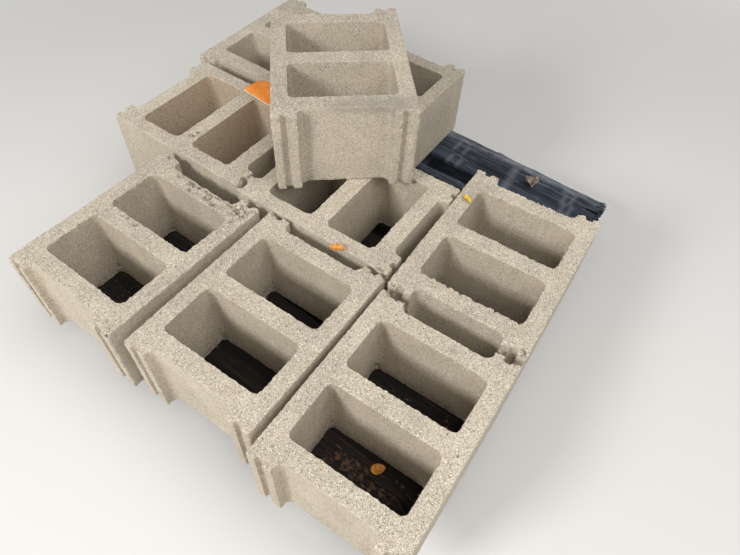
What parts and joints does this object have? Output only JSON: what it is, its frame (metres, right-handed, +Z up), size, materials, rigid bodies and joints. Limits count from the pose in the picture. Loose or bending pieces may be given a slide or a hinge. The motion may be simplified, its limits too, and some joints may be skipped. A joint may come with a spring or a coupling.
{
  "type": "pallet of concrete blocks",
  "caption": "Open layer of wide two-core concrete blocks on a weathered wooden pallet, with one more block lying askew across it.",
  "frame": {"origin": "on the floor under the middle of the pallet, on the underside of its middle bottom board", "axes": "+Z up; +X along the stringers towards the bare far edge; +Y along the deck boards, to the left as seen from the near edge"},
  "size_m": [1.1241, 1.121, 0.501],
  "materials": {
    "concrete": "moulded dry-mix concrete, granular on the top face, smoother on the sides",
    "weathered_wood": "rough-sawn, weathered and damp"
  },
  "bodies": {
    "root": {"near_right_block": "concrete", "near_middle_block": "concrete", "near_left_block": "concrete", "right_block": "concrete", "centre_block": "concrete", "left_block": "concrete", "far_left_block": "concrete", "far_middle_block": "concrete", "top_block": "concrete", "right_stringer": "weathered_wood", "middle_stringer": "weathered_wood", "left_stringer": "weathered_wood", "near_bottom_board": "weathered_wood", "middle_bottom_board": "weathered_wood", "far_bottom_board": "weathered_wood", "near_lead_board": "weathered_wood", "far_lead_board": "weathered_wood", "deck_board_1": "weathered_wood", "deck_board_2": "weathered_wood", "deck_board_3": "weathered_wood", "deck_board_4": "weathered_wood", "deck_board_5": "weathered_wood"}
  },
  "joints": []
}
